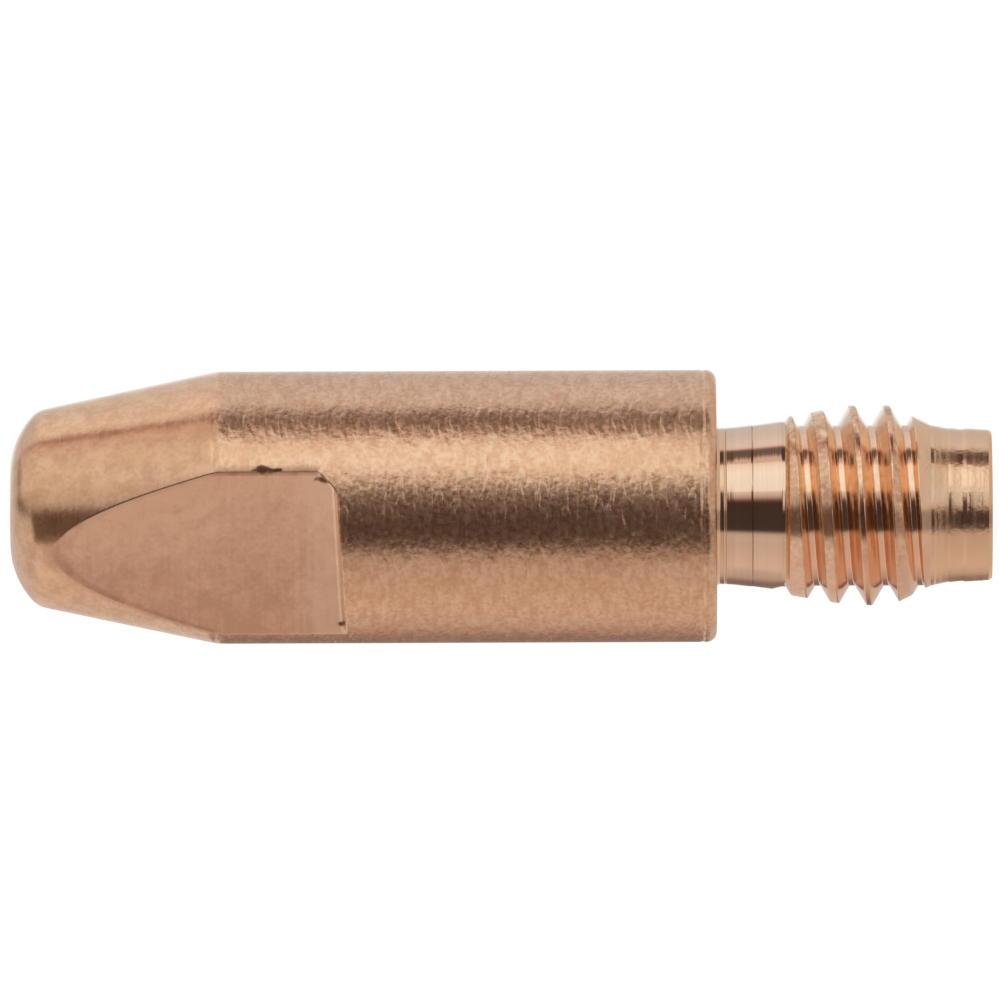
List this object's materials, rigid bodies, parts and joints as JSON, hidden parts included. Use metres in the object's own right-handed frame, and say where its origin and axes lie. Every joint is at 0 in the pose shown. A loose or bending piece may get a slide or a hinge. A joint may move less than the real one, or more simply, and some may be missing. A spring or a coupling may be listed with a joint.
{
  "type": "welding contact tip",
  "caption": "Slim turned copper tip with a tapered round nose, wrench flats and a threaded stud, bored along its axis to guide and energise welding wire.",
  "frame": {"origin": "centre of the ring seat under the body, on the axis of the wire bore", "axes": "+Z along the wire bore towards the nose, -Y and +Y out of the wrench flats"},
  "size_m": [0.0078, 0.0078, 0.0285],
  "materials": {
    "copper": "drawn and turned copper, satin on the body and brighter on the stud"
  },
  "bodies": {
    "root": {"contact_tip": "copper"}
  },
  "joints": []
}
